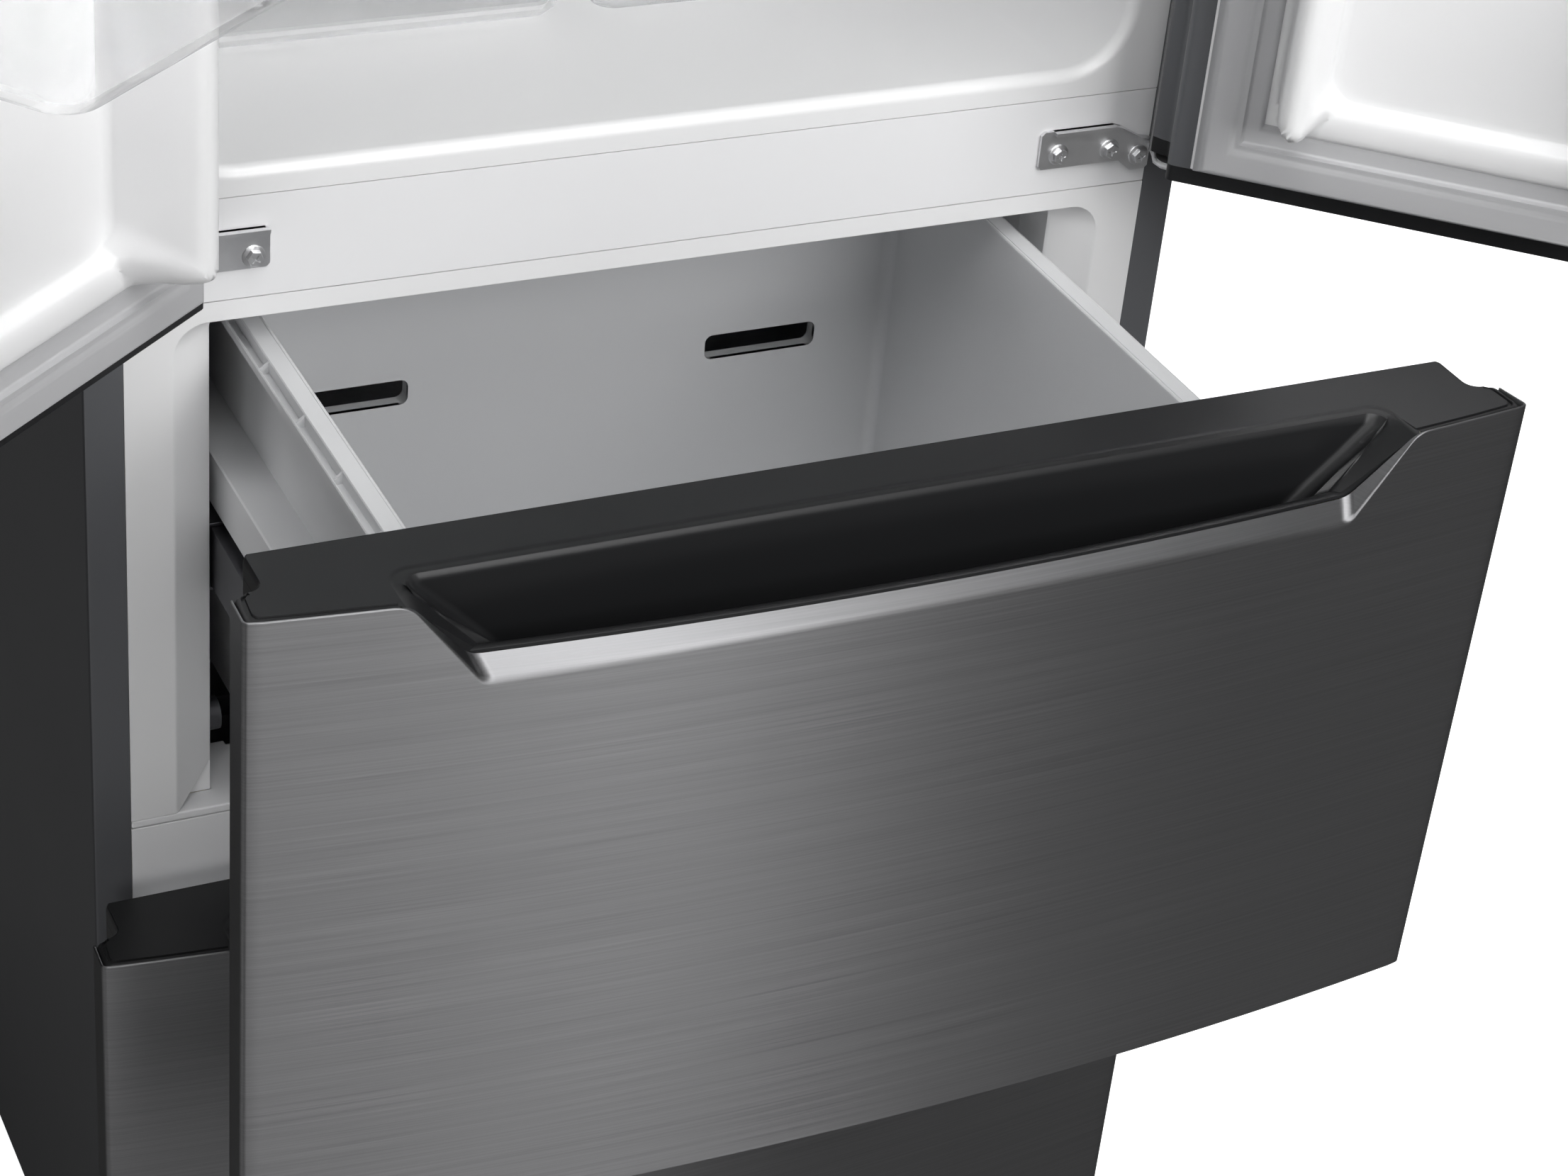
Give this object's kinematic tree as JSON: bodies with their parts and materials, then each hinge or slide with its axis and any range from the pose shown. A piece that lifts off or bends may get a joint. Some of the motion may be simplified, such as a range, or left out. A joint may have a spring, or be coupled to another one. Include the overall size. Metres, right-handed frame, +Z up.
{
  "type": "four door fridge freezer",
  "caption": "Free-standing fridge freezer with French doors above two pull-out freezer drawers, brushed dark steel fronts and scooped handles.",
  "frame": {"origin": "on the floor, under the middle of the cabinet's front face", "axes": "+X to the viewer's right across the front, +Y from the front towards the back, +Z up"},
  "size_m": [1.1755, 0.9735, 1.904],
  "materials": {
    "dark_paint": "satin",
    "zinc_steel": "satin",
    "foam": "matt",
    "white_liner": "semi gloss",
    "white_rail": "satin",
    "hinge_steel": "bright zinc",
    "black_plastic": "gloss",
    "shelf_glass": "clear",
    "clear_plastic": "clear",
    "lamp": "frosted",
    "aluminium_fins": "bright",
    "compressor_paint": "satin",
    "grey_plastic": "satin",
    "steel_skin": "brushed, dark tint",
    "seal_rubber": "matt"
  },
  "bodies": {
    "root": {"outer_wrapper": "dark_paint", "back_panel": "zinc_steel", "base_pan": "zinc_steel", "cabinet_foam": "foam", "fridge_liner": "white_liner", "freezer_liner": "white_liner", "mid_rail_cover": "white_rail", "mid_crossbar": "zinc_steel", "lower_crossbar": "white_liner", "lower_rail_cover": "white_rail", "door_hinges": "hinge_steel", "hinge_screws": "hinge_steel", "hinge_covers": "black_plastic", "glass_shelves": "shelf_glass", "shelf_trims": "white_rail", "air_duct_cover": "white_liner", "fridge_lamp": "lamp", "evaporator_cover": "white_liner", "evaporator": "aluminium_fins", "compressor": "compressor_paint", "drip_tray": "grey_plastic", "compressor_cover": "dark_paint", "toe_kick": "dark_paint", "levelling_feet": "black_plastic", "slide_channels": "zinc_steel"},
    "evaporator_fan": {"fan_rotor": "black_plastic"},
    "rear_rollers": {"rear_rollers": "black_plastic"},
    "left_crisper": {"left_crisper": "clear_plastic"},
    "right_crisper": {"right_crisper": "clear_plastic"},
    "left_door": {"left_door_skin": "steel_skin", "left_door_caps": "black_plastic", "left_door_foam": "foam", "left_door_liner": "white_liner", "left_door_gasket": "seal_rubber", "left_door_bins": "clear_plastic"},
    "folding_bar": {"folding_bar": "white_rail"},
    "right_door": {"right_door_skin": "steel_skin", "right_door_caps": "black_plastic", "right_door_foam": "foam", "right_door_liner": "white_liner", "right_door_gasket": "seal_rubber", "right_door_bins": "clear_plastic"},
    "upper_drawer": {"upper_drawer_skin": "steel_skin", "upper_drawer_cap": "black_plastic", "upper_drawer_frame": "black_plastic", "upper_drawer_foam": "foam", "upper_drawer_plate": "white_liner", "upper_drawer_gasket": "seal_rubber", "upper_basket": "grey_plastic", "upper_drawer_rails": "zinc_steel"},
    "upper_middle_rails": {"upper_middle_rails": "zinc_steel"},
    "lower_drawer": {"lower_drawer_skin": "steel_skin", "lower_drawer_cap": "black_plastic", "lower_drawer_frame": "black_plastic", "lower_drawer_foam": "foam", "lower_drawer_plate": "white_liner", "lower_drawer_gasket": "seal_rubber", "lower_basket": "grey_plastic", "lower_drawer_rails": "zinc_steel"},
    "lower_middle_rails": {"lower_middle_rails": "zinc_steel"}
  },
  "joints": [
    {"name": "left_door_hinge", "type": "hinge", "parent": "root", "child": "left_door", "pos_m": [-0.317, -0.047, 0.8325], "axis": [0, 0, 1], "range_deg": [0, 140.9]},
    {"name": "right_door_hinge", "type": "hinge", "parent": "root", "child": "right_door", "pos_m": [0.317, -0.047, 0.8325], "axis": [0, 0, 1], "range_deg": [-138.2, 2.7]},
    {"name": "folding_bar_hinge", "type": "hinge", "parent": "left_door", "child": "folding_bar", "pos_m": [-0.50004, -0.27049, 1.35], "axis": [0, 0, 1], "range_deg": [-90, 0]},
    {"name": "upper_drawer_slide", "type": "slide", "parent": "root", "child": "upper_drawer", "axis": [0, -1, 0], "range_m": [-0.253, 0.127]},
    {"name": "upper_middle_slide", "type": "slide", "parent": "root", "child": "upper_middle_rails", "axis": [0, -1, 0], "range_m": [-0.1265, 0.0635]},
    {"name": "lower_drawer_slide", "type": "slide", "parent": "root", "child": "lower_drawer", "axis": [0, -1, 0], "range_m": [0, 0.38]},
    {"name": "lower_middle_slide", "type": "slide", "parent": "root", "child": "lower_middle_rails", "axis": [0, -1, 0], "range_m": [0, 0.19]},
    {"name": "left_crisper_slide", "type": "slide", "parent": "root", "child": "left_crisper", "axis": [0, -1, 0], "range_m": [0, 0.06]},
    {"name": "right_crisper_slide", "type": "slide", "parent": "root", "child": "right_crisper", "axis": [0, -1, 0], "range_m": [0, 0.06]},
    {"name": "evaporator_fan_spin", "type": "hinge", "parent": "root", "child": "evaporator_fan", "pos_m": [0, 0.502, 0.638], "axis": [0, 1, 0], "continuous": true},
    {"name": "rear_rollers_spin", "type": "hinge", "parent": "root", "child": "rear_rollers", "pos_m": [0, 0.58, 0.02], "axis": [1, 0, 0], "continuous": true}
  ],
  "couplings": [
    {"joint": "upper_middle_slide", "follows": "upper_drawer_slide", "ratio": 0.5},
    {"joint": "lower_middle_slide", "follows": "lower_drawer_slide", "ratio": 0.5}
  ]
}
